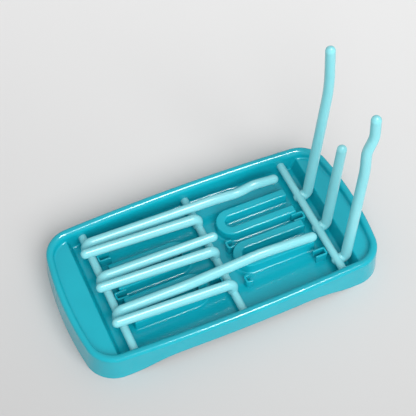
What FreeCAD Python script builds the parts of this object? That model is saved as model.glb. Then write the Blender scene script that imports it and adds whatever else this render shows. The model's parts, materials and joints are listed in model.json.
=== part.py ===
import FreeCAD, Part
import math
import os
from FreeCAD import Vector

# Half of a travel bottle drying rack: an open tray with three folding racks.
# Millimetres, +Z up, origin on the resting plane below the middle of the tray,
# X along the tray, Y across it. The right rack stands up, the other two are folded.

# Tray
TRAY_LENGTH = 242.0
TRAY_WIDTH = 129.0
TRAY_HEIGHT = 24.6
SIDE_FLARE = 0.6
END_FLARE = 1.6
CORNER_FLARE = 0.8
SIDE_BOW_RADIUS = 1720.0
END_BOW_RADIUS = 272.0
CORNER_RADIUS = 23.0
SIDE_RIM_WIDTH = 7.1
END_RIM_WIDTH = 5.1
INNER_CORNER_RADIUS = 18.0
WALL = 2.0
RIM_OUTER_ROUND = 2.4
RIM_SIDE_ROUND = 4.2
RIM_END_ROUND = 2.5
INSIDE_ROUND = 1.6
STEP_ROUND = 1.2
SIDE_START_Y = 50.0
FLOOR_Z = 7.2
SHELF_Z = 18.6
SHELF_EDGE_X = 98.2
SHELF_FOOT_X = 94.5
ARCH_HEIGHT = 7.5
ARCH_FLAT_X = 50.0
ARCH_END_X = 100.0
SKIRT_CUT_Y = 59.6

# Channel ribs and snap clips on the tray floor
RIB_TOP_Z = 16.0
RIB_WALL = 1.5
RIB_ROUND = 1.3
RIB_HALF = 12.2
CHANNEL_HALF = 4.85
RIB_Y = {"rear": 21.2, "front": -10.8}
RIB_ROUND_END_X = 26.0
RIB_ARM = 50.6
CLIP_TOP_Z = 14.8
CLIP_HALF = 3.6
CLIP_WALL = 1.5
CLIP_CORNER_RADIUS = 1.9
CLIP_INSIDE_RADIUS = 0.8
CLIP_ROUND = 0.4
OUTER_CLIP_X = 81.5
OUTER_CLIP_LENGTH = 10.0
OUTER_CLIP_Y = {"rear": 5.2, "front": -32.0}
INNER_CLIP_X = 13.4
INNER_CLIP_LENGTH = 5.6
INNER_CLIP_Y = {"rear": 3.1, "front": -30.9}
LEFT_CLIP_X = -1.8
LEFT_CLIP_LENGTH = 9.5
LEFT_CLIP_Y = -23.9

# Racks
END_AXLE_X = 85.0
END_AXLE_Z = 14.85
MIDDLE_AXLE_X = 1.8
MIDDLE_AXLE_Z = 11.7
AXLE_RADIUS = 3.1
BORE_CLEARANCE = 0.06
AXLE_REACH = 1.4
TINE_PITCH = 32.5
RIGHT_RACK_CENTRE_Y = -10.0
MIDDLE_RACK_CENTRE_Y = -1.25
END_TINE_ENDS = (4.2, 3.7)
MIDDLE_TINE_ENDS = (4.1, 3.6)
LEFT_FOLD_ANGLE = 93.8

ORIGIN = Vector(0, 0, 0)
UP = Vector(0, 0, 1)
ACROSS = Vector(0, 1, 0)


def tray_outline(half_length, half_width, corner_radius, z):
    """Closed wire with bowed sides and ends and tangent corner arcs."""
    side_centre = Vector(0, half_width - SIDE_BOW_RADIUS, 0)
    end_centre = Vector(half_length - END_BOW_RADIUS, 0, 0)
    side_reach = SIDE_BOW_RADIUS - corner_radius
    end_reach = END_BOW_RADIUS - corner_radius
    between = end_centre - side_centre
    gap = between.Length
    along = (side_reach ** 2 - end_reach ** 2 + gap ** 2) / (2 * gap)
    aside = math.sqrt(side_reach ** 2 - along ** 2)
    forward = between / gap
    corner_centre = side_centre + forward * along + Vector(forward.y, -forward.x, 0) * aside
    to_side = (corner_centre - side_centre).normalize()
    to_end = (corner_centre - end_centre).normalize()
    side_end = corner_centre + to_side * corner_radius
    end_end = corner_centre + to_end * corner_radius
    corner = corner_centre + (to_side + to_end).normalize() * corner_radius

    def at(point, x_sign, y_sign):
        return Vector(x_sign * point.x, y_sign * point.y, z)

    side = Vector(0, half_width, 0)
    end = Vector(half_length, 0, 0)
    arcs = [
        (at(side_end, -1, 1), at(side, 1, 1), at(side_end, 1, 1)),
        (at(side_end, 1, 1), at(corner, 1, 1), at(end_end, 1, 1)),
        (at(end_end, 1, 1), at(end, 1, 1), at(end_end, 1, -1)),
        (at(end_end, 1, -1), at(corner, 1, -1), at(side_end, 1, -1)),
        (at(side_end, 1, -1), at(side, 1, -1), at(side_end, -1, -1)),
        (at(side_end, -1, -1), at(corner, -1, -1), at(end_end, -1, -1)),
        (at(end_end, -1, -1), at(end, -1, 1), at(end_end, -1, 1)),
        (at(end_end, -1, 1), at(corner, -1, 1), at(side_end, -1, 1)),
    ]
    return Part.Wire([Part.Arc(*points).toShape() for points in arcs])


def inset_outline(side_inset, end_inset, corner_radius, z):
    return tray_outline(TRAY_LENGTH / 2 - end_inset, TRAY_WIDTH / 2 - side_inset, corner_radius, z)


def prism(wire, height):
    return Part.Face(wire).extrude(UP * height)


def section_across(points):
    """Solid of an XZ profile that runs right across the tray."""
    corners = [Vector(x, -TRAY_WIDTH, z) for x, z in points]
    return Part.Face(Part.makePolygon(corners + corners[:1])).extrude(ACROSS * 2 * TRAY_WIDTH)


def round_edges(shape, radius, wanted):
    return shape.makeFillet(radius, [edge for edge in shape.Edges if wanted(edge.BoundBox)])


def round_edges_variably(shape, edge_radii):
    """Fillet numbered edges, each from its own first radius to its own last radius."""
    document = FreeCAD.newDocument("fillet")
    base = document.addObject("Part::Feature", "base")
    base.Shape = shape
    fillet = document.addObject("Part::Fillet", "fillet")
    fillet.Base = base
    fillet.Edges = edge_radii
    document.recompute()
    rounded = fillet.Shape.copy()
    FreeCAD.closeDocument(document.Name)
    return rounded


def flat_at(z):
    """Test for edges that lie in the level plane at z."""
    return lambda box: abs(box.ZMin - z) < 1e-4 and abs(box.ZMax - z) < 1e-4


def runs_across(box):
    return box.XLength < 1e-3


def basin(thickness):
    """Space inside the tray, grown by a wall thickness downwards and outwards."""
    floor_z = FLOOR_Z - thickness
    shelf_z = SHELF_Z - thickness
    top_z = TRAY_HEIGHT + 1
    outline = inset_outline(SIDE_RIM_WIDTH - thickness, END_RIM_WIDTH - thickness,
                            INNER_CORNER_RADIUS + thickness, floor_z)
    edge_x = SHELF_EDGE_X + thickness
    foot_x = SHELF_FOOT_X + thickness
    profile = [
        (-TRAY_LENGTH, top_z), (-TRAY_LENGTH, shelf_z), (-edge_x, shelf_z), (-foot_x, floor_z),
        (foot_x, floor_z), (edge_x, shelf_z), (TRAY_LENGTH, shelf_z), (TRAY_LENGTH, top_z),
    ]
    return prism(outline, top_z - floor_z).common(section_across(profile))


def rounded_basin():
    """Space inside the tray with its shelf steps, floor corners and shelf corners rounded."""
    space = basin(0)
    space = round_edges(space, STEP_ROUND, lambda box: flat_at(SHELF_Z)(box) and runs_across(box))
    space = round_edges(space, INSIDE_ROUND, flat_at(FLOOR_Z))
    return round_edges(space, INSIDE_ROUND, lambda box: flat_at(SHELF_Z)(box) and not runs_across(box))


def arch_cutter():
    """Opening that lifts the long walls' lower edge off the table between the corner feet."""
    middle_x = (ARCH_FLAT_X + ARCH_END_X) / 2
    run = middle_x - ARCH_FLAT_X
    rise = ARCH_HEIGHT / 2
    radius = (run ** 2 + rise ** 2) / (2 * rise)
    half_sweep = math.asin(run / radius) / 2
    out = radius * math.sin(half_sweep)
    down = radius * (1 - math.cos(half_sweep))
    top = [Vector(ARCH_FLAT_X, 0, ARCH_HEIGHT), Vector(ARCH_FLAT_X + out, 0, ARCH_HEIGHT - down),
           Vector(middle_x, 0, rise)]
    foot = [Vector(middle_x, 0, rise), Vector(ARCH_END_X - out, 0, down), Vector(ARCH_END_X, 0, 0)]
    below = -1.0
    edges = []
    for sign in (1, -1):
        for points in (top, foot):
            edges.append(Part.Arc(*[Vector(sign * p.x, 0, p.z) for p in points]).toShape())
        edges.append(Part.makeLine(Vector(sign * ARCH_END_X, 0, 0), Vector(sign * ARCH_END_X, 0, below)))
    edges.append(Part.makeLine(Vector(-ARCH_FLAT_X, 0, ARCH_HEIGHT), Vector(ARCH_FLAT_X, 0, ARCH_HEIGHT)))
    edges.append(Part.makeLine(Vector(-ARCH_END_X, 0, below), Vector(ARCH_END_X, 0, below)))
    profile = Part.Face(Part.Wire(Part.__sortEdges__(edges)))
    rear = profile.translated(ACROSS * SKIRT_CUT_Y).extrude(ACROSS * TRAY_WIDTH)
    return rear.fuse(rear.mirror(ORIGIN, ACROSS))


def u_wall(y, arm, outer_half, inner_half, z, height):
    """U-shaped wall seen from above: round end towards the middle of the tray and two arms along X."""

    def at(along, across):
        return Vector(RIB_ROUND_END_X + along, y + across, z)

    edges = [
        Part.makeLine(at(arm, outer_half), at(0, outer_half)),
        Part.Arc(at(0, outer_half), at(-outer_half, 0), at(0, -outer_half)).toShape(),
        Part.makeLine(at(0, -outer_half), at(arm, -outer_half)),
        Part.makeLine(at(arm, -outer_half), at(arm, -inner_half)),
        Part.makeLine(at(arm, -inner_half), at(0, -inner_half)),
        Part.Arc(at(0, -inner_half), at(-inner_half, 0), at(0, inner_half)).toShape(),
        Part.makeLine(at(0, inner_half), at(arm, inner_half)),
        Part.makeLine(at(arm, inner_half), at(arm, outer_half)),
    ]
    return prism(Part.Wire(edges), height)


def rib_hollow(y):
    """Space under a channel rib, open through the tray floor."""
    bottom_z = FLOOR_Z - 2 * WALL
    height = RIB_TOP_Z - RIB_WALL - bottom_z
    return u_wall(y, RIB_ARM - RIB_WALL, RIB_HALF - RIB_WALL, CHANNEL_HALF + RIB_WALL, bottom_z, height)


def channel_rib(y):
    rib = u_wall(y, RIB_ARM, RIB_HALF, CHANNEL_HALF, FLOOR_Z, RIB_TOP_Z - FLOOR_Z)
    rib = round_edges(rib, RIB_ROUND, flat_at(RIB_TOP_Z))
    return rib.cut(rib_hollow(y))


def half_turn(shape):
    return shape.rotated(ORIGIN, UP, 180)


def upright_box(from_x, length, half_width, height, corner_radius):
    """Box along X that starts at from_x, with its two upright edges there rounded."""
    box = Part.makeBox(length, 2 * half_width, height, Vector(from_x, -half_width, 0))

    def upright_at_start(edge_box):
        return abs(edge_box.XMax - from_x) < 1e-3 and edge_box.YLength < 1e-3

    return round_edges(box, corner_radius, upright_at_start)


def snap_clip(x, y, direction, length):
    """Upright clip, C-shaped seen from above: closed back at x and two arms along the direction."""
    height = CLIP_TOP_Z - FLOOR_Z
    block = upright_box(0, length, CLIP_HALF, height, CLIP_CORNER_RADIUS)
    gap = upright_box(CLIP_WALL, length, CLIP_HALF - CLIP_WALL, height, CLIP_INSIDE_RADIUS)
    clip = round_edges(block.cut(gap), CLIP_ROUND, flat_at(height))
    if direction < 0:
        clip = half_turn(clip)
    return clip.translated(Vector(x, y, FLOOR_Z))


def tine_row(centre_y):
    """Y of the rear, centre and front tine of a rack."""
    return {"rear": centre_y + TINE_PITCH, "centre": centre_y, "front": centre_y - TINE_PITCH}


def inner_wall_y(x):
    """Half width of the outer face of the inner wall at x."""
    sagitta = SIDE_BOW_RADIUS - math.sqrt(SIDE_BOW_RADIUS ** 2 - x ** 2)
    return TRAY_WIDTH / 2 - SIDE_RIM_WIDTH + WALL - sagitta


def axle(x, z, extra=0.0):
    """Straight round axle that runs in bores through both inner side walls."""
    half_length = inner_wall_y(x) + AXLE_REACH
    return Part.makeCylinder(AXLE_RADIUS + extra, 2 * half_length, Vector(x, -half_length, z), ACROSS)


def flared_block(inset, height):
    """Solid inside the tray's outer skirt, which flares out towards its foot."""
    foot = inset_outline(inset - SIDE_FLARE, inset - END_FLARE, CORNER_RADIUS - inset + CORNER_FLARE, 0)
    top = inset_outline(inset, inset, CORNER_RADIUS - inset, height)
    return Part.makeLoft([foot, top], True, True)


def opening_edge_radii(shape):
    """Number and end radii of each rim edge round the opening: wide along the sides, narrow at the ends."""
    opening = inset_outline(SIDE_RIM_WIDTH, END_RIM_WIDTH, INNER_CORNER_RADIUS, TRAY_HEIGHT)
    radii = []
    for number, edge in enumerate(shape.Edges, 1):
        middle = edge.valueAt((edge.FirstParameter + edge.LastParameter) / 2)
        if flat_at(TRAY_HEIGHT)(edge.BoundBox) and opening.distToShape(Part.Vertex(middle))[0] < 1e-3:
            ends = [edge.valueAt(parameter) for parameter in (edge.FirstParameter, edge.LastParameter)]
            first, last = [RIM_SIDE_ROUND if abs(end.y) > SIDE_START_Y else RIM_END_ROUND for end in ends]
            radii.append((number, first, last))
    return radii


def tray_shell():
    outer = round_edges(flared_block(0, TRAY_HEIGHT), RIM_OUTER_ROUND, flat_at(TRAY_HEIGHT))
    shell = outer.cut(rounded_basin())
    shell = round_edges_variably(shell, opening_edge_radii(shell))
    underside = flared_block(WALL, TRAY_HEIGHT - WALL)
    shell = shell.cut(underside.cut(basin(WALL))).cut(arch_cutter())
    for y in RIB_Y.values():
        hollow = rib_hollow(y)
        shell = shell.cut(hollow).cut(half_turn(hollow))
    for x, z in ((END_AXLE_X, END_AXLE_Z), (-END_AXLE_X, END_AXLE_Z), (MIDDLE_AXLE_X, MIDDLE_AXLE_Z)):
        shell = shell.cut(axle(x, z, BORE_CLEARANCE))
    return shell.Solids[0]


def rounded_path(points, radii):
    """Wire of straight runs joined by tangent arcs, one radius for each inner point."""
    edges = []
    start = points[0]
    for before, point, after, radius in zip(points, points[1:], points[2:], radii):
        back = (before - point).normalize()
        on = (after - point).normalize()
        half_angle = back.getAngle(on) / 2
        tangent = radius / math.tan(half_angle)
        bisector = (back + on).normalize()
        centre = point + bisector * (radius / math.sin(half_angle))
        arc_start = point + back * tangent
        arc_end = point + on * tangent
        edges.append(Part.makeLine(start, arc_start))
        edges.append(Part.Arc(arc_start, centre - bisector * radius, arc_end).toShape())
        start = arc_end
    edges.append(Part.makeLine(start, points[-1]))
    return Part.Wire(edges)


def tapered_rod(points, bend_radii, end_radii):
    """Round rod along a path, thick at its root, with ball ends."""
    path = rounded_path(points, bend_radii)
    root_radius, tip_radius = end_radii
    first = (points[1] - points[0]).normalize()
    last = (points[-1] - points[-2]).normalize()
    root = Part.Wire(Part.makeCircle(root_radius, points[0], first))
    tip = Part.Wire(Part.makeCircle(tip_radius, points[-1], last))
    rod = path.makePipeShell([root, tip], True, False)
    root_cap = Part.makeSphere(root_radius, points[0], -first, 0, 90)
    tip_cap = Part.makeSphere(tip_radius, points[-1], last, 0, 90)
    return rod.fuse([root_cap, tip_cap]).Solids[0]


# Tine outlines in a rack's own plane: distance out along the stub, height along the tine.
# Each runs from its heel on the far side of the axle, round the bend at the stub and up.
# The end racks' stubs pass a little under their axle.
END_HEEL = (0.3, -1.4)
END_BEND = (7.7, -1.4)
END_BEND_RADIUS = 4.6
SMOOTH_TINE = [END_HEEL, END_BEND, (16.6, 122.0), (14.0, 160.3)]
SMOOTH_RADII = [END_BEND_RADIUS, 230.0]
LEFT_SMOOTH_TINE = [END_HEEL, END_BEND, (11.3, 52.0), (21.0, 114.0), (19.9, 157.6)]
LEFT_SMOOTH_RADII = [END_BEND_RADIUS, 150.0, 120.0]
SHORT_TINE = [END_HEEL, END_BEND, (12.8, 89.6)]
SHORT_RADII = [END_BEND_RADIUS]
WAVY_TINE = [END_HEEL, END_BEND, (12.3, 104.0), (11.2, 125.0), (15.6, 139.0), (14.4, 157.2)]
WAVY_RADII = [END_BEND_RADIUS, 110.0, 24.0, 24.0]
MIDDLE_TINE = [(0.4, 0.0), (8.8, 0.0), (16.0, 92.2)]
MIDDLE_RADII = [4.8]


def end_tine(y, outline, bend_radii):
    """Tine of the right rack, standing up, cut to sit on the axle."""
    points = [Vector(END_AXLE_X + out, y, END_AXLE_Z + up) for out, up in outline]
    rod = tapered_rod(points, bend_radii, END_TINE_ENDS)
    return rod.cut(axle(END_AXLE_X, END_AXLE_Z)).Solids[0]


def middle_tine(y):
    """Tine of the middle rack, folded towards the left end, cut to sit on the axle."""
    points = [Vector(MIDDLE_AXLE_X - up, y, MIDDLE_AXLE_Z + out) for out, up in MIDDLE_TINE]
    rod = tapered_rod(points, MIDDLE_RADII, MIDDLE_TINE_ENDS)
    return rod.cut(axle(MIDDLE_AXLE_X, MIDDLE_AXLE_Z)).Solids[0]


def as_left_rack(shape):
    """Turn a piece of the right rack round to the left end and fold it flat."""
    return half_turn(shape).rotated(Vector(-END_AXLE_X, 0, END_AXLE_Z), ACROSS, LEFT_FOLD_ANGLE)


def tray_nodes():
    nodes = {"tray_shell": tray_shell()}
    for place, opposite in (("rear", "front"), ("front", "rear")):
        rib = channel_rib(RIB_Y[place])
        outer_clip = snap_clip(OUTER_CLIP_X, OUTER_CLIP_Y[place], -1, OUTER_CLIP_LENGTH)
        nodes[f"right_{place}_channel_rib"] = rib
        nodes[f"left_{opposite}_channel_rib"] = half_turn(rib)
        nodes[f"right_{place}_outer_clip"] = outer_clip
        nodes[f"left_{opposite}_outer_clip"] = half_turn(outer_clip)
        inner_clip = snap_clip(INNER_CLIP_X, INNER_CLIP_Y[place], 1, INNER_CLIP_LENGTH)
        nodes[f"right_{place}_inner_clip"] = inner_clip
    nodes["left_inner_clip"] = snap_clip(LEFT_CLIP_X, LEFT_CLIP_Y, -1, LEFT_CLIP_LENGTH)
    return nodes


def rack_nodes():
    right_rows = tine_row(RIGHT_RACK_CENTRE_Y)
    short_tine = end_tine(right_rows["centre"], SHORT_TINE, SHORT_RADII)
    wavy_tine = end_tine(right_rows["front"], WAVY_TINE, WAVY_RADII)
    left_smooth_tine = end_tine(right_rows["rear"], LEFT_SMOOTH_TINE, LEFT_SMOOTH_RADII)
    end_axle = axle(END_AXLE_X, END_AXLE_Z)
    nodes = {
        "right_axle": end_axle,
        "right_rear_tine": end_tine(right_rows["rear"], SMOOTH_TINE, SMOOTH_RADII),
        "right_centre_tine": short_tine,
        "right_front_tine": wavy_tine,
        "left_axle": as_left_rack(end_axle),
        "left_rear_tine": as_left_rack(wavy_tine),
        "left_centre_tine": as_left_rack(short_tine),
        "left_front_tine": as_left_rack(left_smooth_tine),
        "middle_axle": axle(MIDDLE_AXLE_X, MIDDLE_AXLE_Z),
    }
    for place, y in tine_row(MIDDLE_RACK_CENTRE_Y).items():
        nodes[f"middle_{place}_tine"] = middle_tine(y)
    return nodes


os.makedirs("parts", exist_ok=True)
for node, solid in {**tray_nodes(), **rack_nodes()}.items():
    solid.exportStep(f"parts/{node}.step")
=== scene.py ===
import json
import math

import bmesh
import bpy
from mathutils import Euler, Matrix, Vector


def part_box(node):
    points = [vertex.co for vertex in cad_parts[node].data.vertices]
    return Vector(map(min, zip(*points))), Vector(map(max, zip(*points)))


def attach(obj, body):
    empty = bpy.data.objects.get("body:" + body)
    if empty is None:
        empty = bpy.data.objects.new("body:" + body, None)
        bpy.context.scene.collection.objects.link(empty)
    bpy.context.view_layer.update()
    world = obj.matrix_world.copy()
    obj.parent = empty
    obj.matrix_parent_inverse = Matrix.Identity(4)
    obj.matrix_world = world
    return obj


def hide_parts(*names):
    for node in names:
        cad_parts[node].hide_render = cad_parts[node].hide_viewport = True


# Half of a travel bottle drying rack on a pale studio floor. Lengths are metres, colours linear.
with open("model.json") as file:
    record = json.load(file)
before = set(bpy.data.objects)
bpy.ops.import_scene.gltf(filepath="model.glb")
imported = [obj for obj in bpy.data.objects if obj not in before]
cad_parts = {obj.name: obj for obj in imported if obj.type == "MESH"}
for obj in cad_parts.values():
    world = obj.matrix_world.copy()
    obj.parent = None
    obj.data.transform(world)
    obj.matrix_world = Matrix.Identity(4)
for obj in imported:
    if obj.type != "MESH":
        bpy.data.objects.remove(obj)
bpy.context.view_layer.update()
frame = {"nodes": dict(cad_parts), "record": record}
nodes = frame["nodes"]
bodies = frame["record"]["behaviour"]["bodies"]

# Plastics: a main colour and a slightly deeper one that drifts through it. The roughness wanders by
# GLOSS_SPREAD to either side, and RACK_GLOW is the share of light that travels inside the racks.
TEAL = (0.004, 0.405, 0.500, 1.0)
TEAL_DEEP = (0.003, 0.370, 0.460, 1.0)
AQUA = (0.255, 0.672, 0.728, 1.0)
AQUA_DEEP = (0.230, 0.640, 0.700, 1.0)
TRAY_ROUGHNESS = 0.17
RACK_ROUGHNESS = 0.255
RACK_GLOW = 0.12
GLOSS_SPREAD = 0.012
GRAIN_HEIGHT = 0.00001

# Channel ribs
RIB_WIDTH = 0.00735
RIB_TOP_ROUND = 0.0013
RIB_FOOT_ROUND = 0.0016
RIB_NOSE = 0.0012
ROUND_STEPS = 6
NOSE_STEPS = 5
ARM_STEPS = 12
BEND_STEPS = 32
CREASE_ANGLE = math.radians(50)
WELD_DISTANCE = 1e-6

# Floor sheet: its colour holds a painted light falloff, painted shade near the camera and painted
# light away from it, running from NEAR to FAR along the level direction in which the camera looks
FLOOR_REACH = 6.0
FLOOR_PAINTED_SHADE_NEAR = (0.455, 0.455, 0.455, 1.0)
FLOOR_PAINTED_LIGHT_FAR = (0.955, 0.955, 0.955, 1.0)
FLOOR_PAINTED_SHADE_AT = -0.22
FLOOR_PAINTED_LIGHT_AT = 0.42
VIEW_ACROSS_FLOOR = (0.404, 0.915, 0.0)

# Light: an even white surround, a large lamp for the shading and a strip for the highlights
WHITE = (1.0, 1.0, 1.0, 1.0)
SURROUND_STRENGTH = 0.53
KEY_PLACE = (0.02, -1.12, 1.10)
KEY_SIZE = (1.3, 1.1)
KEY_POWER = 25.5
GLINT_PLACE = (0.30, -0.25, 1.20)
GLINT_SIZE = (0.42, 0.12)
GLINT_POWER = 12.0

# The camera stands before the near left corner and looks steeply down.
CAMERA_PLACE = (-0.2034, -0.4539, 0.7743)
CAMERA_TILT = 35.45
CAMERA_LEAN = 0.18
CAMERA_TURN = -24.06
SENSOR_MM = 36.0
LENS_MM = 102.7


def link(tree, source, output, target, socket):
    tree.links.new(source.outputs[output], target.inputs[socket])


def noise(tree, place, scale, detail):
    texture = tree.nodes.new("ShaderNodeTexNoise")
    texture.inputs["Scale"].default_value = scale
    texture.inputs["Detail"].default_value = detail
    link(tree, place, "Object", texture, "Vector")
    return texture


def plastic(name, colour, deep_colour, roughness, subsurface):
    """Moulded plastic: faint flow clouds in the colour, uneven gloss and a fine moulded grain."""
    material = bpy.data.materials.new(name)
    material.use_nodes = True
    tree = material.node_tree
    shader = tree.nodes["Principled BSDF"]
    shader.inputs["IOR"].default_value = 1.49
    shader.inputs["Subsurface Weight"].default_value = subsurface
    shader.inputs["Subsurface Radius"].default_value = (0.4, 1.0, 1.0)
    shader.inputs["Subsurface Scale"].default_value = 0.002
    place = tree.nodes.new("ShaderNodeTexCoord")

    clouds = noise(tree, place, scale=22.0, detail=3.0)
    tint = tree.nodes.new("ShaderNodeValToRGB")
    tint.color_ramp.elements[0].position = 0.35
    tint.color_ramp.elements[0].color = deep_colour
    tint.color_ramp.elements[1].position = 0.65
    tint.color_ramp.elements[1].color = colour
    link(tree, clouds, "Fac", tint, "Fac")
    link(tree, tint, "Color", shader, "Base Color")

    wear = noise(tree, place, scale=60.0, detail=3.0)
    gloss = tree.nodes.new("ShaderNodeMapRange")
    gloss.inputs["From Min"].default_value = 0.3
    gloss.inputs["From Max"].default_value = 0.7
    gloss.inputs["To Min"].default_value = roughness - GLOSS_SPREAD
    gloss.inputs["To Max"].default_value = roughness + GLOSS_SPREAD
    link(tree, wear, "Fac", gloss, "Value")
    link(tree, gloss, "Result", shader, "Roughness")

    grain = noise(tree, place, scale=2400.0, detail=2.0)
    bump = tree.nodes.new("ShaderNodeBump")
    bump.inputs["Strength"].default_value = 0.2
    bump.inputs["Distance"].default_value = GRAIN_HEIGHT
    link(tree, grain, "Fac", bump, "Height")
    link(tree, bump, "Normal", shader, "Normal")
    return material


def rounded_wall_profile(half, top, foot):
    """Cross section of a low wall, from one foot over the top to the other: pairs of across and up."""
    angles = [math.pi / 2 * step / ROUND_STEPS for step in range(ROUND_STEPS + 1)]
    side = []
    for angle in angles:
        across = half + RIB_FOOT_ROUND * (1 - math.sin(angle))
        side.append((across, foot + RIB_FOOT_ROUND * (1 - math.cos(angle))))
    for angle in angles:
        across = half - RIB_TOP_ROUND * (1 - math.cos(angle))
        side.append((across, top - RIB_TOP_ROUND * (1 - math.sin(angle))))
    return side + [(-across, up) for across, up in reversed(side)]


def rounded_end(point, neighbour):
    """Places past an end of the spine, outermost first, each with how far the profile draws in."""
    ahead = Vector((point[0] - neighbour[0], point[1] - neighbour[1])).normalized()
    end = []
    for step in range(NOSE_STEPS):
        angle = math.pi / 2 * (1 - step / NOSE_STEPS)
        reach = ahead * RIB_NOSE * math.sin(angle)
        place = (point[0] + reach.x, point[1] + reach.y, point[2], point[3])
        end.append((place, RIB_NOSE * (1 - math.cos(angle))))
    return end


def swept_wall(name, spine, profile):
    """Wall swept along a level spine of (x, y, normal x, normal y), its two ends rounded over."""
    first_end = rounded_end(spine[0], spine[1])
    last_end = rounded_end(spine[-1], spine[-2])
    sections = first_end + [(place, 0.0) for place in spine] + last_end[::-1]
    top = max(up for _, up in profile)
    verts = []
    for (x, y, normal_x, normal_y), inset in sections:
        for across, up in profile:
            held = math.copysign(max(abs(across) - inset, 0.0), across)
            verts.append((x + normal_x * held, y + normal_y * held, min(up, top - inset)))
    count = len(profile)
    faces = []
    for ring in range(len(sections) - 1):
        for k in range(count):
            here = ring * count + k
            beside = ring * count + (k + 1) % count
            faces.append((here, beside, beside + count, here + count))
    faces.append(tuple(range(count))[::-1])
    faces.append(tuple(range(len(verts) - count, len(verts))))
    mesh = bpy.data.meshes.new(name)
    mesh.from_pydata(verts, [], faces)
    wall = bpy.data.objects.new(name, mesh)
    bpy.context.scene.collection.objects.link(wall)
    welded = bmesh.new()
    welded.from_mesh(mesh)
    bmesh.ops.remove_doubles(welded, verts=welded.verts, dist=WELD_DISTANCE)
    bmesh.ops.recalc_face_normals(welded, faces=welded.faces)
    welded.to_mesh(mesh)
    welded.free()
    for face in mesh.polygons:
        face.use_smooth = True
    mesh.set_sharp_from_angle(angle=CREASE_ANGLE)
    return wall


def moulded_rib(node):
    """Channel rib with rounded edges and a soft foot where it grows out of the floor."""
    low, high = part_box(node)
    # The U opens towards the tray's end: +X on the right half, -X on the left half.
    direction = 1 if "right" in node else -1
    closed_x = low.x if direction > 0 else high.x
    open_x = high.x if direction > 0 else low.x
    centre_y = (low.y + high.y) / 2
    outer = (high.y - low.y) / 2
    middle = outer - RIB_WIDTH / 2
    turn_x = closed_x + direction * outer
    arm_x = open_x - direction * RIB_NOSE
    arm = turn_x - arm_x
    spine = []
    for k in range(ARM_STEPS):
        spine.append((arm_x + arm * k / ARM_STEPS, centre_y + middle, 0.0, 1.0))
    for k in range(BEND_STEPS + 1):
        angle = math.pi * k / BEND_STEPS
        normal_x = -direction * math.sin(angle)
        normal_y = math.cos(angle)
        spine.append((turn_x + normal_x * middle, centre_y + normal_y * middle, normal_x, normal_y))
    for k in range(1, ARM_STEPS + 1):
        spine.append((turn_x - arm * k / ARM_STEPS, centre_y - middle, 0.0, -1.0))
    profile = rounded_wall_profile(RIB_WIDTH / 2, high.z, low.z)
    rib = swept_wall(node + "_moulded", spine, profile)
    rib.data.materials.append(tray_plastic)
    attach(rib, "tray")
    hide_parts(node)


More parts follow.
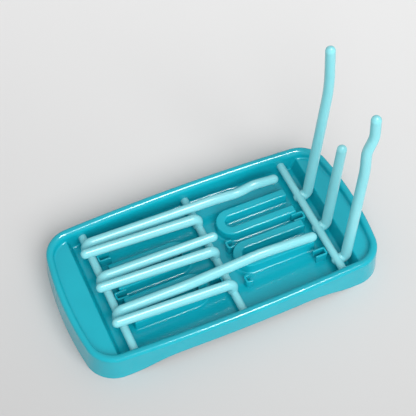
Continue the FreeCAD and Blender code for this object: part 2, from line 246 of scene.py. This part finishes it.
def studio_floor():
    """Large pale sheet with painted light in its colour: painted shade near the camera, growing a
    little lighter away from it.
    """
    floor_mesh = bpy.data.meshes.new("floor")
    reach = FLOOR_REACH
    corners = [(-reach, -reach, 0), (reach, -reach, 0), (reach, reach, 0), (-reach, reach, 0)]
    floor_mesh.from_pydata(corners, [], [(0, 1, 2, 3)])
    floor = bpy.data.objects.new("floor", floor_mesh)
    bpy.context.scene.collection.objects.link(floor)
    material = bpy.data.materials.new("floor_paper_painted_falloff")
    material.use_nodes = True
    tree = material.node_tree
    shader = tree.nodes["Principled BSDF"]
    shader.inputs["Roughness"].default_value = 0.6
    place = tree.nodes.new("ShaderNodeTexCoord")
    depth = tree.nodes.new("ShaderNodeVectorMath")
    depth.operation = "DOT_PRODUCT"
    depth.inputs[1].default_value = VIEW_ACROSS_FLOOR
    link(tree, place, "Object", depth, 0)
    spread = tree.nodes.new("ShaderNodeMapRange")
    spread.inputs["From Min"].default_value = FLOOR_PAINTED_SHADE_AT
    spread.inputs["From Max"].default_value = FLOOR_PAINTED_LIGHT_AT
    link(tree, depth, "Value", spread, "Value")
    # This ramp paints the light falloff into the base colour: painted shade at the near end, painted
    # light at the far end.
    shade = tree.nodes.new("ShaderNodeValToRGB")
    shade.color_ramp.elements[0].color = FLOOR_PAINTED_SHADE_NEAR
    shade.color_ramp.elements[1].color = FLOOR_PAINTED_LIGHT_FAR
    link(tree, spread, "Result", shade, "Fac")
    link(tree, shade, "Color", shader, "Base Color")
    floor.data.materials.append(material)


def soft_box(name, place, size, power):
    """Rectangular lamp aimed at the origin."""
    data = bpy.data.lights.new(name, "AREA")
    data.shape = "RECTANGLE"
    data.size, data.size_y = size
    data.energy = power
    lamp = bpy.data.objects.new(name, data)
    lamp.location = place
    lamp.rotation_euler = (-lamp.location).to_track_quat("-Z", "Y").to_euler()
    bpy.context.scene.collection.objects.link(lamp)
    return lamp


def studio_light():
    world = bpy.data.worlds.new("studio")
    world.use_nodes = True
    background = world.node_tree.nodes["Background"]
    background.inputs["Color"].default_value = WHITE
    background.inputs["Strength"].default_value = SURROUND_STRENGTH
    bpy.context.scene.world = world
    key = soft_box("key", KEY_PLACE, KEY_SIZE, KEY_POWER)
    key.visible_glossy = False
    glint = soft_box("glint", GLINT_PLACE, GLINT_SIZE, GLINT_POWER)
    glint.visible_diffuse = False


def main_camera():
    data = bpy.data.cameras.new("camera")
    data.sensor_width = SENSOR_MM
    data.lens = LENS_MM
    data.clip_end = 50.0
    camera = bpy.data.objects.new("camera", data)
    camera.location = CAMERA_PLACE
    camera.rotation_euler = Euler(map(math.radians, (CAMERA_TILT, CAMERA_LEAN, CAMERA_TURN)))
    bpy.context.scene.collection.objects.link(camera)
    bpy.context.scene.camera = camera


tray_plastic = plastic("tray_plastic", TEAL, TEAL_DEEP, TRAY_ROUGHNESS, subsurface=0.0)
rack_plastic = plastic("rack_plastic", AQUA, AQUA_DEEP, RACK_ROUGHNESS, subsurface=RACK_GLOW)
for body, members in bodies.items():
    for name in members:
        for slot in nodes[name].material_slots:
            slot.material = tray_plastic if body == "tray" else rack_plastic

for name in bodies["tray"]:
    if name.endswith("channel_rib"):
        moulded_rib(name)

studio_floor()
studio_light()
main_camera()
bpy.context.scene.view_settings.view_transform = "Standard"
